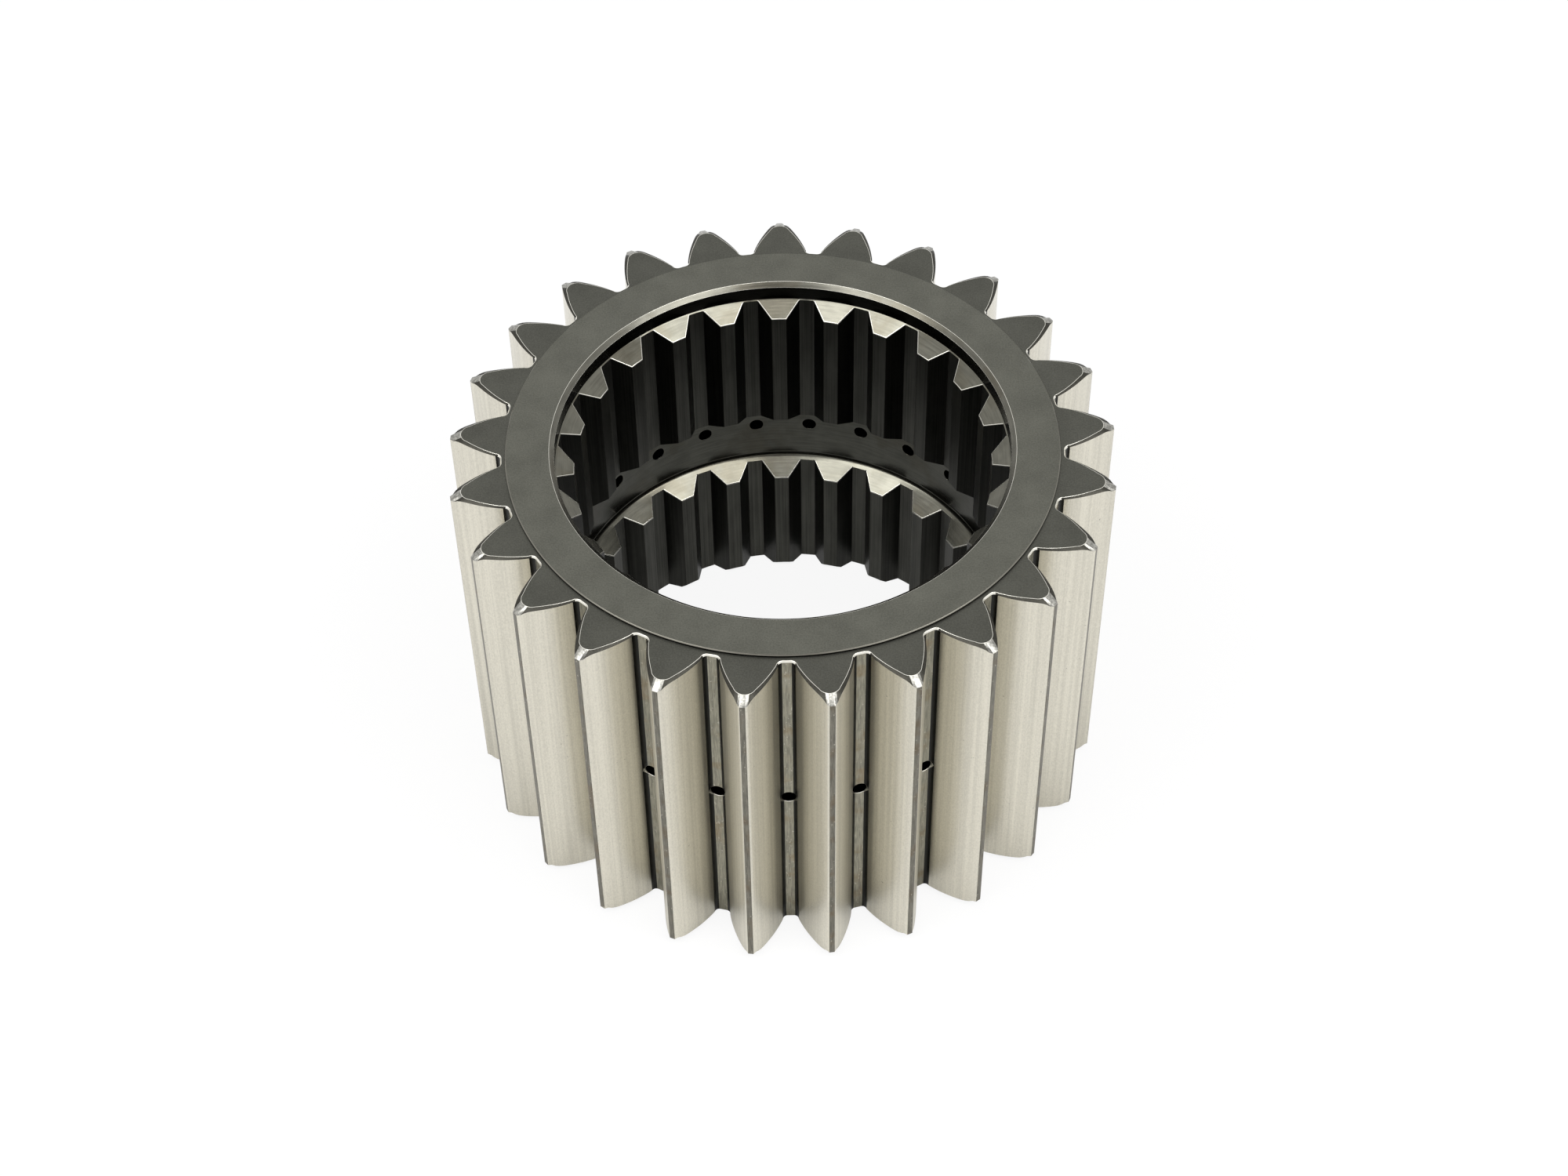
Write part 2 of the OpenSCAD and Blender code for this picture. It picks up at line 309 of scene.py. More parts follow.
def tooth_rows(sizes, tip_steps=2):
    """Points round one tooth from gap to gap, each as (outline, flat end's outline, chamfer's length)."""
    side = tooth_side(sizes)
    outline = [polar(r, a) for r, a in side]
    nose_from = sizes.tip_radius - sizes.nose_length
    widening = (sizes.flank_chamfer - sizes.root_chamfer) / (nose_from - sizes.root_radius)
    # The first point lies in the middle of a gap, where the outline runs round the axis
    rows = [(outline[0], polar(sizes.root_radius - sizes.root_chamfer, side[0][1]), sizes.chamfer_length)]
    for before, point, after in zip(outline, outline[1:], outline[2:]):
        way = (after - before).normalized()
        width = sizes.root_chamfer + widening * (radius_of(point) - sizes.root_radius)
        rows.append((point, point + Vector((-way.y, way.x, 0)) * width, sizes.chamfer_length))
    # The flat end's round nose, from the flank to the side of the tip's chamfer
    centre = polar(sizes.tip_radius - sizes.nose_depth - sizes.nose_radius, 0.0)
    first = next(i for i, (r, a) in enumerate(side) if r > nose_from)
    start = rows[first - 1][1] - centre
    low_turn = math.atan2(start.x, start.y)
    high_turn = math.asin(sizes.facet_width / 2 / sizes.nose_radius)
    for i in range(first, len(rows)):
        share = (i - first + 1) / (len(rows) - first)
        turn = low_turn + (high_turn - low_turn) * share
        reach = start.length + (sizes.nose_radius - start.length) * share
        drop = sizes.chamfer_length + (sizes.nose_drop - sizes.chamfer_length) * share ** 3
        rows[i] = (rows[i][0], centre + polar(reach, turn), drop)
    for i in range(tip_steps + 1):
        tip = polar(sizes.tip_radius, side[-1][1] * (1 - i / tip_steps))
        on_nose = polar(sizes.nose_radius, math.asin(tip.x / sizes.nose_radius))
        rows.append((tip, centre + on_nose, sizes.nose_drop))
    flip = Matrix.Diagonal((-1, 1, 1))
    return rows + [(flip @ p, flip @ q, drop) for p, q, drop in reversed(rows[:-1])]


def extrude_row(bm, row, places):
    """Extrudes a chain of vertices to other places, and gives the new chain."""
    edges = [bm.edges.get(pair) for pair in zip(row, row[1:])]
    made = set(bmesh.ops.extrude_edge_only(bm, edges=edges)["geom"])
    new = [next(e.other_vert(v) for e in v.link_edges if e.other_vert(v) in made) for v in row]
    for vert, place in zip(new, places):
        vert.co = place
    return new


def outer_teeth(bm, sizes, arc_steps=4):
    """The toothed outside, with its flat ends as far in as the raised rings."""
    low, high = sizes.ring_rise, HEIGHT - sizes.ring_rise
    half_pitch = math.pi / sizes.teeth
    rows = tooth_rows(sizes)
    first = [bm.verts.new((q.x, q.y, low)) for p, q, drop in rows]
    for pair in zip(first, first[1:]):
        bm.edges.new(pair)
    row = extrude_row(bm, first, [(p.x, p.y, low + drop) for p, q, drop in rows])
    row = extrude_row(bm, row, [(p.x, p.y, high - drop) for p, q, drop in rows])
    last = extrude_row(bm, row, [(q.x, q.y, high) for p, q, drop in rows])
    for row, z in ((first, low), (last, high)):
        arc = [
            bm.verts.new(polar(sizes.ring_radius, half_pitch * i / arc_steps, z))
            for i in range(-arc_steps, arc_steps + 1)
        ]
        bm.faces.new(row + arc)
    copy_round(bm, sizes.teeth)
    for face_z, way, end_z in ((high, 1, HEIGHT), (low, -1, 0.0)):
        edges = open_edges(bm, sizes.ring_radius, face_z)
        edges = rim(bm, edges, sizes.ring_radius, end_z - way * sizes.ring_edge)
        rim(bm, edges, sizes.ring_radius - sizes.ring_edge, end_z)


def spline_side(sizes):
    """Radius and angle of one side of a spline tooth: gap's middle, root corner, tip corner."""
    half_pitch = math.pi / sizes.spline_teeth
    root = Vector((sizes.gap_root / 2, sizes.spline_root))
    slope = Vector((sizes.gap_tip / 2, sizes.spline_tip)) - root
    # Where the straight flank meets the circle of the tips
    a, b = slope.dot(slope), 2 * root.dot(slope)
    c = root.dot(root) - sizes.spline_tip ** 2
    tip = root + slope * (-b - math.sqrt(b * b - 4 * a * c)) / (2 * a)
    return [
        (sizes.spline_root, half_pitch),
        (sizes.spline_root, half_pitch - math.atan2(root.x, root.y)),
        (sizes.spline_tip, half_pitch - math.atan2(tip.x, tip.y)),
    ]


def spline(sizes, low, high, arc_steps=4):
    """One spline as a mesh of its own; low and high give its ends' heights at a radius."""
    bm = bmesh.new()
    side = spline_side(sizes)
    section = [(r, -a) for r, a in side] + [(sizes.spline_tip, 0.0)] + [(r, a) for r, a in reversed(side)]
    corner = side[1][1]
    arc = [corner * i / arc_steps for i in range(arc_steps - 1, -arc_steps, -1)]
    foot = [bm.verts.new(polar(r, a, low(r))) for r, a in section]
    strip = [bm.edges.new(pair) for pair in zip(foot, foot[1:])]
    made = bmesh.ops.extrude_edge_only(bm, edges=strip)["geom"]
    head = verts_in(made)
    head.sort(key=lambda v: math.atan2(v.co.x, v.co.y))
    for v in head:
        v.co.z = high(radius_of(v.co))
    # The teeth's sloping ends, from the tips out to the circle of the roots
    for row, end in ((foot, low), (head, high)):
        back = [bm.verts.new(polar(sizes.spline_root, a, end(sizes.spline_root))) for a in arc]
        bm.faces.new(row[1:-1] + back)
    copy_round(bm, sizes.spline_teeth)
    return bm


def join(bm, other):
    """Adds another mesh to this one."""
    mesh = bpy.data.meshes.new("part")
    other.to_mesh(mesh)
    other.free()
    bm.from_mesh(mesh)
    bpy.data.meshes.remove(mesh)


def inner_side(sizes, corner_steps=6):
    """The inside: mouth, upper spline, ring groove and lower spline."""
    root, groove = sizes.spline_root, sizes.groove_radius
    floor = HEIGHT - sizes.mouth_depth
    bm = spline(
        sizes,
        lambda r: sizes.upper_foot + (root - r) * math.tan(sizes.run_out),
        lambda r: floor - (sizes.mouth_radius - r) * math.tan(sizes.lead),
    )
    mouth_floor = floor - (sizes.mouth_radius - root) * math.tan(sizes.lead)
    edges = open_edges(bm, root, mouth_floor)
    edges = rim(bm, edges, sizes.mouth_radius, floor)
    edges = rim(bm, edges, sizes.mouth_radius, HEIGHT - sizes.mouth_drop)
    rim(bm, edges, sizes.mouth_radius + sizes.mouth_chamfer, HEIGHT)

    # Groove: straight down, then round its lower corner on to the lower spline
    sweep = math.pi / 2 - sizes.lead
    foot_radius = groove - sizes.groove_corner * (1 - math.cos(sweep))
    foot_z = sizes.lower_top + (foot_radius - root) * math.tan(sizes.lead)
    corner_z = foot_z + sizes.groove_corner * math.sin(sweep)
    edges = open_edges(bm, root, sizes.upper_foot)
    edges = rim(bm, edges, groove, sizes.upper_foot)
    for i in range(corner_steps + 1):
        turn = sweep * i / corner_steps
        edges = rim(
            bm, edges, groove - sizes.groove_corner * (1 - math.cos(turn)),
            corner_z - sizes.groove_corner * math.sin(turn),
        )
    rim(bm, edges, root, sizes.lower_top)

    lower = spline(
        sizes, lambda r: 0.0, lambda r: sizes.lower_top - (root - r) * math.tan(sizes.lead)
    )
    join(bm, lower)
    bmesh.ops.remove_doubles(bm, verts=bm.verts[:], dist=SAME)
    bmesh.ops.rotate(
        bm, verts=bm.verts[:], cent=(0, 0, 0), matrix=Matrix.Rotation(sizes.spline_turn, 3, "Z")
    )
    return bm


def outer_finish(sizes, centre, steep):
    """The finish of a face on the outer teeth."""
    radius = radius_of(centre)
    if steep > FLAT:
        return "end"
    if steep > SLOPING:
        # The end chamfers round the gap floors take the edge tone, a painted highlight
        if radius < sizes.root_radius + sizes.root_corner / 2:
            return "edge"
        pitch = 2 * math.pi / sizes.teeth
        turn = (math.atan2(centre.x, centre.y) + pitch / 2) % pitch - pitch / 2
        between = abs(radius * math.sin(turn)) < sizes.facet_width / 2
        return "facet" if between and radius > sizes.tip_radius - sizes.nose_depth else "bevel"
    if radius > sizes.tip_radius - ON_RADIUS:
        return "tip"
    if radius < sizes.root_radius + ON_GAP_FLOOR:
        return "root"
    # Root corners take the corner tone, painted shade
    return "corner" if radius < sizes.root_radius + sizes.root_corner else "flank"


def finish_of(sizes, face):
    """The finish of a face, told from where it lies and which way it faces."""
    centre, steep = face.calc_center_median(), abs(face.normal.z)
    radius = radius_of(centre)
    if radius > sizes.ring_radius:
        return outer_finish(sizes, centre, steep)
    if radius > sizes.ring_radius - sizes.ring_edge:
        # A ring's wall takes the corner tone, painted shade
        return "step" if steep > SLOPING else "corner"
    if steep > FLAT and min(centre.z, HEIGHT - centre.z) < SAME:
        return "ring" if radius > sizes.spline_root - ON_RADIUS else "cone"
    if radius > sizes.spline_root - NEAR and centre.z > HEIGHT - sizes.mouth_depth:
        # The mouth's wall takes a tone darkened as painted shade
        return "mouth" if steep > SLOPING else "wall"
    in_groove = steep > FLAT or sizes.lower_top + CONE_RISE < centre.z < sizes.upper_foot
    if radius > sizes.spline_root and in_groove:
        return "groove"
    if steep > SLOPING:
        return "cone"
    # A tip or a root of a spline faces along the radius, and a flank doesn't
    across = abs(face.normal.x * centre.y - face.normal.y * centre.x) / radius
    # Lands and flanks take tones darkened as painted shade, the flanks darker
    return "land" if across < SLOPING else "spline"


def edge_kind(sizes, edge):
    """Which of the edges in ROUNDED an edge belongs to, if any."""
    if edge.calc_face_angle(0.0) < ROUNDED_BEND:
        return None
    low, high = sorted((v.co for v in edge.verts), key=lambda place: place.z)
    middle = (low + high) / 2
    radius = radius_of(middle)
    if abs(middle.z - sizes.hole_height) < HOLE_REACH and radius > sizes.groove_radius - ON_RADIUS:
        return None
    level = high.z - low.z < SAME
    from_end = min(middle.z, HEIGHT - middle.z)
    if level and radius > sizes.ring_radius + NEAR and abs(from_end - sizes.ring_rise) < NEAR:
        return "end_edge"
    if not level and radius > sizes.tip_radius - NEAR:
        return "tip_edge"
    mouth = sizes.mouth_radius + sizes.mouth_chamfer
    if radius < mouth + NEAR and middle.z > HEIGHT - sizes.mouth_drop - NEAR:
        return "mouth_edge"
    if radius < sizes.spline_root - ON_SPLINE_ROOT:
        tops = (HEIGHT - sizes.mouth_depth, sizes.lower_top)
        on_cone = any(-CONE_DROP < middle.z - top < NEAR for top in tops)
        return "cone_edge" if on_cone else "spline_edge"
    return "fine_edge"


def oil_drills(bm, sizes, sides=24):
    """Drills for all the oil holes, each with a countersink at both ends."""
    wide = sizes.hole_edge * 2
    made = bmesh.ops.create_circle(
        bm, cap_ends=True, radius=sizes.hole_radius + wide, segments=sides
    )["verts"]
    bmesh.ops.translate(bm, verts=made, vec=(0, 0, sizes.groove_radius - DRILL_PAST))
    edges = bm.edges[:]
    for reach, widening, finish in (
        (sizes.groove_radius - sizes.hole_edge, wide, "cone"),
        (sizes.groove_radius + sizes.hole_edge, 0.0, "cone"),
        # Inside the hole this tone is painted shade
        (sizes.root_radius - sizes.hole_edge, 0.0, "wall"),
        # The countersink at the gap floor takes the edge tone, a painted highlight
        (sizes.root_radius + sizes.hole_edge, wide, "edge"),
        (sizes.root_radius + sizes.root_corner, wide, "edge"),
    ):
        edges = rim(bm, edges, sizes.hole_radius + widening, reach)
        for face in {f for e in edges for f in e.link_faces}:
            face.material_index = CUT_FINISHES.index(finish)
    bmesh.ops.holes_fill(bm, edges=edges)
    # Laid down along +Y, raised and turned into the first gap
    flat = Matrix.Rotation(-math.pi / 2, 3, "X")
    into_gap = Matrix.Rotation(math.pi / sizes.teeth, 3, "Z")
    bmesh.ops.rotate(bm, verts=bm.verts[:], cent=(0, 0, 0), matrix=flat)
    bmesh.ops.translate(bm, verts=bm.verts[:], vec=(0, 0, sizes.hole_height))
    bmesh.ops.rotate(bm, verts=bm.verts[:], cent=(0, 0, 0), matrix=into_gap)
    copy_round(bm, sizes.teeth)


def foot_countersink(bm, sizes):
    """A cone that cuts the chamfer on the lower spline's tips at the lower face."""
    reach = sizes.foot_chamfer + CONE_PAST
    made = bmesh.ops.create_cone(
        bm, cap_ends=True, segments=sizes.spline_teeth * 6, radius1=sizes.spline_tip + reach,
        radius2=sizes.spline_tip - CONE_PAST, depth=reach + CONE_PAST,
    )["verts"]
    bmesh.ops.translate(bm, verts=made, vec=(0, 0, sizes.foot_chamfer / 2))
    for face in {f for v in made for f in v.link_faces}:
        face.material_index = CUT_FINISHES.index("cone")


def cutter_bodies(sizes):
    """Everything that is cut out of the gear's body, as closed pieces."""
    bm = bmesh.new()
    oil_drills(bm, sizes)
    foot_countersink(bm, sizes)
    bmesh.ops.recalc_face_normals(bm, faces=bm.faces[:])
    return bm


def add_object(name, bm):
    """Makes a mesh an object in the scene."""
    mesh = bpy.data.meshes.new(name)
    bm.to_mesh(mesh)
    bm.free()
    obj = bpy.data.objects.new(name, mesh)
    bpy.context.scene.collection.objects.link(obj)
    return obj


def apply_modifier(obj, kind, **settings):
    """Adds a modifier with these settings and makes its result the mesh."""
    modifier = obj.modifiers.new(kind.title(), kind)
    for name, value in settings.items():
        setattr(modifier, name, value)
    with bpy.context.temp_override(object=obj, active_object=obj, selected_objects=[obj]):
        bpy.ops.object.modifier_apply(modifier=modifier.name)


def gear_body(sizes):
    """The whole gear before its holes and rounded edges, closed and facing outwards."""
    bm = bmesh.new()
    outer_teeth(bm, sizes)
    join(bm, inner_side(sizes))
    for z, inner in ((HEIGHT, sizes.mouth_radius + sizes.mouth_chamfer), (0.0, sizes.spline_root)):
        edges = open_edges(bm, sizes.ring_radius - sizes.ring_edge, z) + open_edges(bm, inner, z)
        bmesh.ops.triangle_fill(
            bm, edges=edges, use_beauty=True, use_dissolve=False, normal=(0, 0, 1)
        )
    bmesh.ops.recalc_face_normals(bm, faces=bm.faces[:])
    bm.normal_update()
    if any(not e.is_manifold for e in bm.edges):
        raise RuntimeError("the gear's mesh isn't closed")
    for face in bm.faces:
        face.material_index = FINISHES.index(finish_of(sizes, face))
    return bm


def round_edges(obj, sizes):
    """Rounds the edges, each by its own width, and leaves flat faces flat."""
    for kind, bright in ROUNDED:
        bm = bmesh.new()
        bm.from_mesh(obj.data)
        marks = [float(edge_kind(sizes, e) == kind) for e in bm.edges]
        bm.free()
        weights = obj.data.attributes.get("bevel_weight_edge")
        if weights is None:
            weights = obj.data.attributes.new("bevel_weight_edge", "FLOAT", "EDGE")
        weights.data.foreach_set("value", marks)
        # The bright kinds take the edge tone, a painted highlight
        apply_modifier(
            obj, "BEVEL", width=getattr(sizes, kind), segments=2, limit_method="WEIGHT",
            miter_outer="MITER_ARC", use_clamp_overlap=True, loop_slide=True,
            material=FINISHES.index("edge") if bright else -1,
        )
    obj.data.polygons.foreach_set("use_smooth", [True] * len(obj.data.polygons))
    obj.data.set_sharp_from_angle(angle=SHARP_BEND)
    apply_modifier(obj, "WEIGHTED_NORMAL", keep_sharp=True, weight=80)


class Value:
    """A shader socket that can stand in an expression."""

    def __init__(self, tree, socket):
        self.tree, self.socket = tree, socket

    def math(self, operation, *values):
        """A Math node on these values."""
        sockets = dict(enumerate(values))
        return add_node(self.tree, "ShaderNodeMath", {"operation": operation}, sockets)["Value"]

    def __add__(self, other):
        return self.math("ADD", self, other)

    __radd__ = __add__

    def __sub__(self, other):
        return self.math("SUBTRACT", self, other)

    def __rsub__(self, other):
        return self.math("SUBTRACT", other, self)

    def __mul__(self, other):
        return self.math("MULTIPLY", self, other)

    __rmul__ = __mul__

    def __pow__(self, other):
        return self.math("POWER", self, other)

    def step(self, low, high):
        """0 below low and 1 above high, with a soft turn between them."""
        return add_node(
            self.tree, "ShaderNodeMapRange", {"interpolation_type": "SMOOTHSTEP"},
            {"Value": self, "From Min": low, "From Max": high},
        )["Result"]


def put(tree, socket, value):
    """Links a value to a socket, or writes a number or colour on it."""
    if isinstance(value, Value):
        tree.links.new(value.socket, socket)
    else:
        socket.default_value = value


def add_node(tree, kind, settings, values):
    """Adds a node: its settings first, then the values or links of its sockets, by name or number."""
    node = tree.nodes.new(kind)
    for name, value in settings.items():
        setattr(node, name, value)
    for socket, value in values.items():
        put(tree, node.inputs[socket], value)
    return {s.name: Value(tree, s) for s in node.outputs if s.enabled}


def seen_rays(tree, direct, mirrored):
    """A share for rays from the camera, another for those by way of metal or glass, and 0 for all others."""
    rays = add_node(tree, "ShaderNodeLightPath", {}, {})
    turned_away = rays["Is Glossy Ray"] + rays["Is Transmission Ray"]
    return rays["Is Camera Ray"] * direct + turned_away.math("MINIMUM", turned_away, 1.0) * mirrored


class Finish:
    """The nodes of one material."""

    def __init__(self, name):
        self.material = bpy.data.materials.new(name)
        self.material.use_nodes = True
        self.tree = self.material.node_tree
        self.tree.nodes.clear()
        self.place = self.add("ShaderNodeTexCoord", {}, {})["Object"]
        parts = self.add("ShaderNodeSeparateXYZ", {}, {"Vector": self.place})
        self.x, self.y, self.z = parts["X"], parts["Y"], parts["Z"]
        self.radius = (self.x * self.x + self.y * self.y) ** 0.5
        self.turn = self.x.math("ARCTAN2", self.x, self.y)

    def add(self, kind, settings, values):
        """Adds a node to this material."""
        return add_node(self.tree, kind, settings, values)

    def along(self, x, y, z):
        """A place made of three numbers."""
        return self.add("ShaderNodeCombineXYZ", {}, {"X": x, "Y": y, "Z": z})["Vector"]

    def noise(self, place, scale, detail=2.0, roughness=0.5):
        """Soft noise from 0 to 1."""
        values = {"Vector": place, "Scale": scale, "Detail": detail, "Roughness": roughness}
        return self.add("ShaderNodeTexNoise", {}, values)["Fac"]

    def mix(self, mask, first, second):
        """One colour turning into another where the mask is 1."""
        # Sockets 6 and 7 are the two colours, which share their names with those for numbers
        values = {0: mask, 6: first, 7: second}
        return self.add("ShaderNodeMix", {"data_type": "RGBA"}, values)["Result"]

    def mottled(self, tone, main, other, dark, bright):
        """A tone that two noises darken and brighten by these factors."""
        mask = (main * 0.6 + other * 0.4).step(0.3, 0.7)
        return self.mix(mask, linear(tone, dark), linear(tone, bright))

    def finished(self, shader):
        """Leads a shader to the output and gives the material."""
        self.add("ShaderNodeOutputMaterial", {}, {"Surface": shader})
        return self.material

    def paper(self, base, direct, mirrored):
        """White paper with a soft shadow, a share of it plain white to the camera and another in metal."""
        share = seen_rays(self.tree, direct, mirrored)
        paper = self.add("ShaderNodeBsdfDiffuse", {}, {"Color": base})["BSDF"]
        glow = self.add("ShaderNodeEmission", {}, {"Color": WHITE, "Strength": 1.0})["Emission"]
        return self.finished(self.add("ShaderNodeMixShader", {}, {0: share, 1: paper, 2: glow})["Shader"])

    def metal(self, base, roughness, height=None, depth=0.0, metallic=1.0):
        """The metal itself; height raises and lowers the surface by up to depth."""
        values = {"Base Color": base, "Roughness": roughness, "Metallic": metallic}
        if height is not None:
            bump = {"Height": height, "Distance": depth, "Strength": 1.0}
            values["Normal"] = self.add("ShaderNodeBump", {}, bump)["Normal"]
        return self.finished(self.add("ShaderNodeBsdfPrincipled", {}, values)["BSDF"])


def linear(tone, factor=1.0):
    """A screen colour as the light it stands for."""
    def channel(c):
        return c / 12.92 if c <= 0.04045 else ((c + 0.055) / 1.055) ** 2.4

    return tuple(min(1.0, channel(c) * factor) for c in tone) + (1.0,)


def ground_finish(name, tone):
    """Ground steel: long streaks along the axis, a fine grain and a few small pits."""
    f = Finish(name)
    streaks = f.noise(f.along(f.x, f.y, f.z * 0.006), scale=1500, detail=4, roughness=0.65)
    grain = f.noise(f.along(f.x, f.y, f.z * 0.5), scale=4500)
    pits = f.noise(f.place, scale=1400).step(0.74, 0.78)
    base = f.mix(pits * 0.6, f.mottled(tone, streaks, grain, 0.84, 1.12), linear(tone, 0.25))
    return f.metal(base, streaks * 0.12 + 0.26, streaks * 0.5 - pits, 0.004 * MM)


def milled_finish(name, tone):
    """Milled steel left rough: streaks along the axis, pale specks and brown stains."""
    f = Finish(name)
    streaks = f.noise(f.along(f.x, f.y, f.z * 0.1), scale=4000, detail=4)
    stain = f.noise(f.place, scale=260, detail=4).step(0.5, 0.7)
    specks = f.noise(f.along(f.x, f.y, f.z * 0.6), scale=2600).step(0.64, 0.72)
    base = f.mix(streaks.step(0.3, 0.7), linear(tone, 0.7), linear(tone, 1.2))
    base = f.mix(stain * 0.5, base, linear((tone[0], tone[1] * 0.86, tone[2] * 0.68), 0.8))
    base = f.mix(specks * 0.3, base, linear((0.85, 0.83, 0.78)))
    return f.metal(base, streaks * 0.2 + 0.3, streaks, 0.01 * MM)


def broached_finish(name, tone):
    """Broached steel, dark with painted shade in the bore, with long fine streaks along the axis."""
    f = Finish(name)
    streaks = f.noise(f.along(f.x, f.y, f.z * 0.01), scale=3500, detail=3)
    marks = f.noise(f.along(f.x, f.y, f.z * 0.3), scale=350, detail=4)
    base = f.mottled(tone, streaks, marks, 0.6, 1.3)
    return f.metal(base, streaks * 0.1 + 0.3, streaks, 0.004 * MM)


def turned_finish(name, tone, roughness=0.16):
    """Turned steel: fine rings round the axis and faint brown stains."""
    f = Finish(name)
    rings = f.noise(f.along(f.radius, f.turn * 0.002, f.z), scale=3000, detail=3)
    marks = f.noise(f.place, scale=400, detail=4)
    stain = f.noise(f.place, scale=90, detail=4, roughness=0.6).step(0.48, 0.62)
    brown = linear((tone[0], tone[1] * 0.94, tone[2] * 0.84), 0.65)
    base = f.mix(stain * 0.4, f.mottled(tone, rings, marks, 0.8, 1.2), brown)
    return f.metal(base, rings * 0.1 + roughness, rings, 0.003 * MM)


def mouth_finish(name, tone):
    """Turned steel, a little duller."""
    return turned_finish(name, tone, 0.22)


def lapped_finish(name, tone):
    """Lapped steel: a fine grain with cloudy marks."""
    f = Finish(name)
    grain = f.noise(f.place, scale=3800, detail=4)
    cloud = f.noise(f.place, scale=170, detail=5, roughness=0.6)
    base = f.mottled(tone, grain, cloud, 0.8, 1.2)
    return f.metal(base, cloud * 0.15 + 0.38, grain, 0.003 * MM)


def facet_finish(name, tone):
    """A smooth turned chamfer with a few marks along the axis."""
    f = Finish(name)
    marks = f.noise(f.along(f.x, f.y, f.z * 0.1), scale=3000)
    base = f.mix(marks.step(0.38, 0.62), linear(tone, 0.68), linear(tone, 1.15))
    return f.metal(base, 0.3)


def plain_finish(name, tone):
    """Smooth steel without marks, also used for the painted highlight on bright edges and the painted shade
    in corners.
    """
    return Finish(name).metal(linear(tone), 0.3)


# How each finish is made; the ones that aren't named here are turned
MAKERS = {
    "ring": lapped_finish,
    "step": plain_finish,
    "end": lapped_finish,
    "flank": ground_finish,
    "tip": milled_finish,
    "facet": facet_finish,
    "bevel": lapped_finish,
    "root": milled_finish,
    "corner": plain_finish,
    "mouth": mouth_finish,
    "spline": broached_finish,
    "land": broached_finish,
    "edge": plain_finish,
}


class GEAR_OT_body(bpy.types.Operator):
    """Builds the gear with its holes, rounded edges and finishes"""

    bl_idname = "gear.body"
    bl_label = "Gear"

    def execute(self, context):
        sizes, tones = context.scene.gear_sizes, context.scene.gear_colours
        gear = add_object("sun_gear_steel", gear_body(sizes))
        for name in FINISHES:
            make = MAKERS.get(name, turned_finish)
            gear.data.materials.append(make(name, getattr(tones, name)))
        cutters = add_object("cutters", cutter_bodies(sizes))
        for name in CUT_FINISHES:
            cutters.data.materials.append(gear.data.materials[FINISHES.index(name)])
        apply_modifier(
            gear, "BOOLEAN", object=cutters, operation="DIFFERENCE", solver="EXACT",
            material_mode="TRANSFER",
        )
        bpy.data.objects.remove(cutters)
        round_edges(gear, sizes)
        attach(gear, "root")
        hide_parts("sun_gear")
        return {"FINISHED"}


def disc(name, radius, sides):
    """A flat disc at the origin, facing up."""
    bm = bmesh.new()
    bmesh.ops.create_circle(bm, cap_ends=True, radius=radius, segments=sides)
    return add_object(name, bm)


def add_floor():
    """A floor of white paper, which keeps the gear's shadow."""
    floor = disc("floor", FLOOR_RADIUS, sides=96)
    floor.data.transform(Matrix.Translation((0.0, 0.0, -FLOOR_DROP)))
    floor.data.materials.append(Finish("floor").paper(PAPER, direct=0.88, mirrored=0.08))


def add_black_card():
    """A black card round the lens, which keeps the surfaces that face the camera dark."""
    card = disc("black_card", CARD_RADIUS, sides=48)
    place = Vector(CARD_PLACE)
    facing = place.to_track_quat("Z", "Y").to_matrix().to_4x4()
    card.data.transform(Matrix.Translation(place) @ facing)
    card.data.materials.append(Finish("black card").metal(BLACK, 0.9, metallic=0.0))


def add_world(scene):
    """White surroundings, brighter to the camera and in mirrors than as a light."""
    world = bpy.data.worlds.new("studio")
    scene.world = world
    world.use_nodes = True
    tree = world.node_tree
    background = tree.nodes["Background"]
    put(tree, background.inputs["Color"], WHITE)
    put(tree, background.inputs["Strength"], seen_rays(tree, 0.3, 0.3) + 0.7)


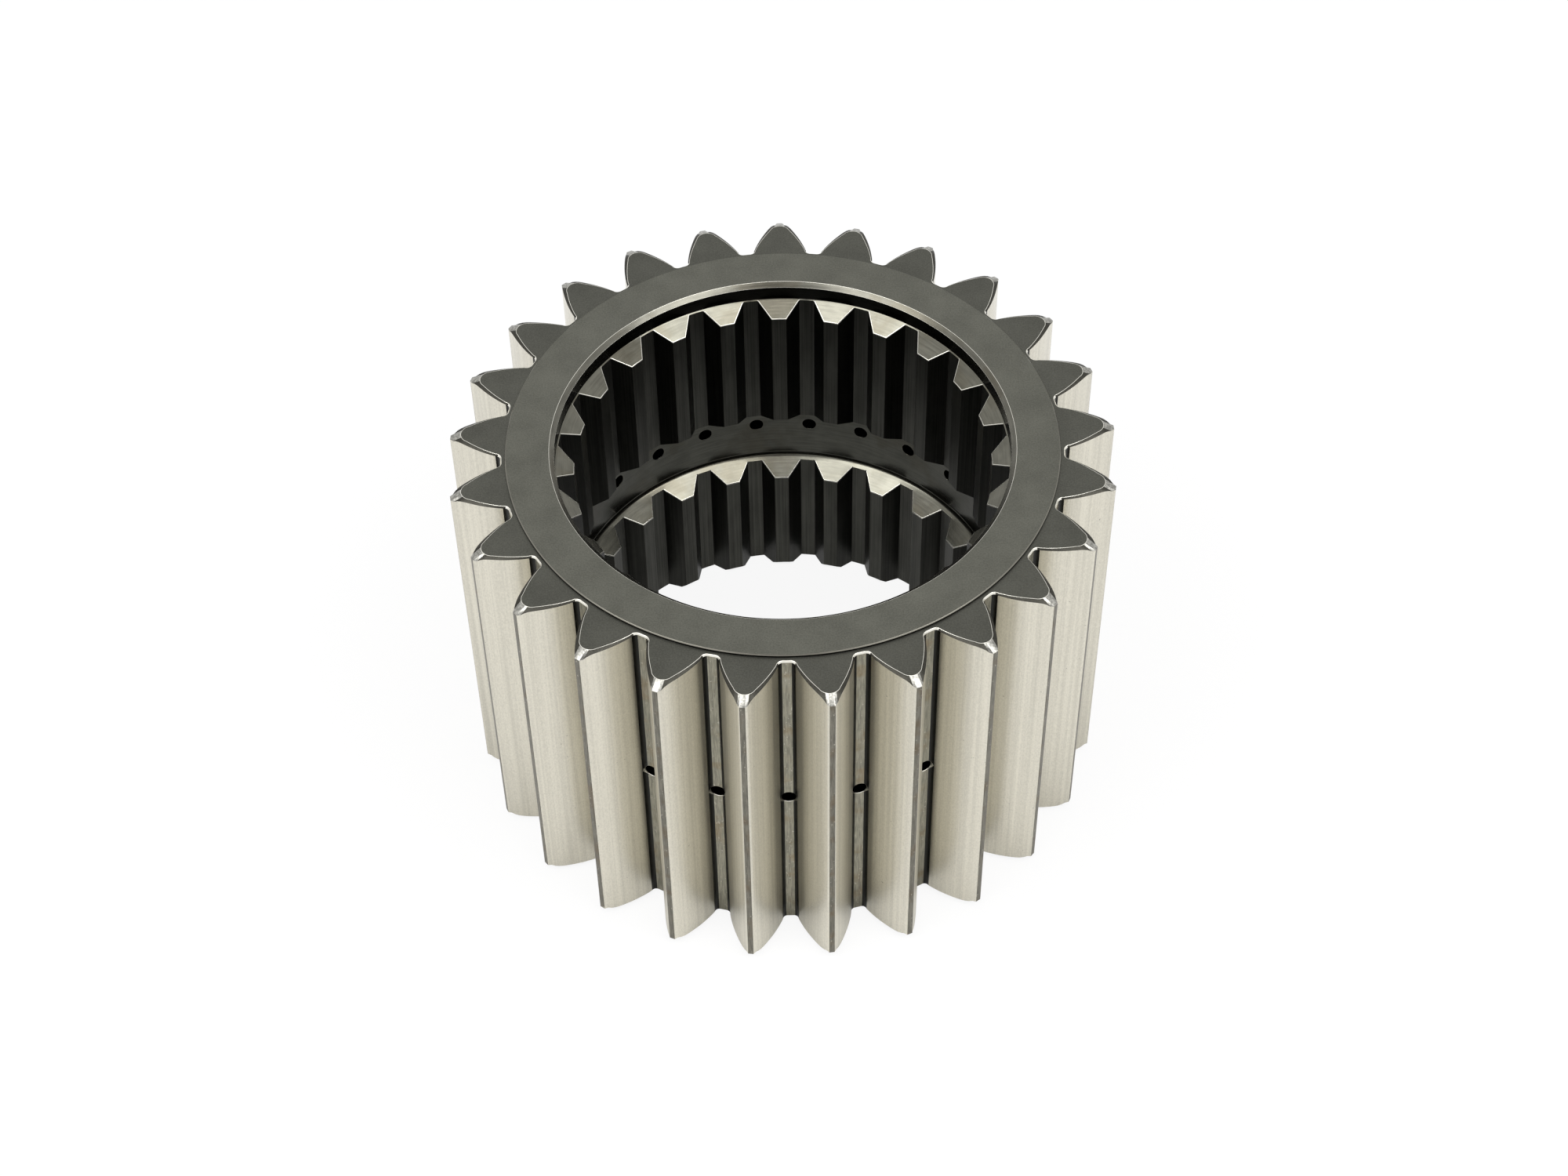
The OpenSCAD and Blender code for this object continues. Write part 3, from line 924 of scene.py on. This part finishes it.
def add_lamps(scene):
    """Round soft lamps, all aimed at the middle of the gear."""
    for name, place, width, power in LAMPS:
        lamp = bpy.data.lights.new(name, "AREA")
        lamp.shape, lamp.energy = "ELLIPSE", power
        lamp.size = lamp.size_y = width
        obj = bpy.data.objects.new(name, lamp)
        obj.location = place
        aim = Vector((0, 0, HEIGHT / 2)) - Vector(place)
        obj.rotation_euler = aim.to_track_quat("-Z", "Y").to_euler()
        scene.collection.objects.link(obj)


def add_camera(scene):
    """The camera, from the same side as in the photo."""
    camera = bpy.data.cameras.new("camera")
    camera.lens, camera.sensor_width = LENS, SENSOR_WIDTH
    camera.shift_x, camera.shift_y = LENS_SHIFT
    camera.clip_start, camera.clip_end = 0.01, 100.0
    obj = bpy.data.objects.new("camera", camera)
    obj.location = CAMERA_PLACE
    obj.rotation_euler = [math.radians(a) for a in CAMERA_TURN]
    scene.collection.objects.link(obj)
    scene.camera = obj


class GEAR_OT_stage(bpy.types.Operator):
    """Builds the floor, the light and the camera"""

    bl_idname = "gear.stage"
    bl_label = "Stage"

    def execute(self, context):
        context.scene.view_settings.view_transform = "Standard"
        add_floor()
        add_world(context.scene)
        add_lamps(context.scene)
        add_black_card()
        add_camera(context.scene)
        return {"FINISHED"}


class GEAR_PT_panel(bpy.types.Panel):
    """Lists the steps that build the gear"""

    bl_idname = "GEAR_PT_panel"
    bl_label = "Sun gear"
    bl_space_type = "VIEW_3D"
    bl_region_type = "UI"
    bl_category = "Sun gear"

    def draw(self, context):
        self.layout.operator("gear.body")
        self.layout.operator("gear.stage")
        for group in (context.scene.gear_sizes, context.scene.gear_colours):
            column = self.layout.column()
            for name in group.bl_rna.properties.keys():
                if name not in ("rna_type", "name"):
                    column.prop(group, name)


CLASSES = (GearSizes, GearColours, GEAR_OT_body, GEAR_OT_stage, GEAR_PT_panel)


def register():
    """Registers the classes and puts the sizes and colours on the scene."""
    for cls in CLASSES:
        bpy.utils.register_class(cls)
    bpy.types.Scene.gear_sizes = PointerProperty(type=GearSizes)
    bpy.types.Scene.gear_colours = PointerProperty(type=GearColours)


def unregister():
    """Takes everything off again that register put on."""
    del bpy.types.Scene.gear_colours
    del bpy.types.Scene.gear_sizes
    for cls in reversed(CLASSES):
        bpy.utils.unregister_class(cls)


def main():
    """Builds the gear and its stage."""
    register()
    bpy.ops.gear.body()
    bpy.ops.gear.stage()
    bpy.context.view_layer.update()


if __name__ == "__main__":
    main()
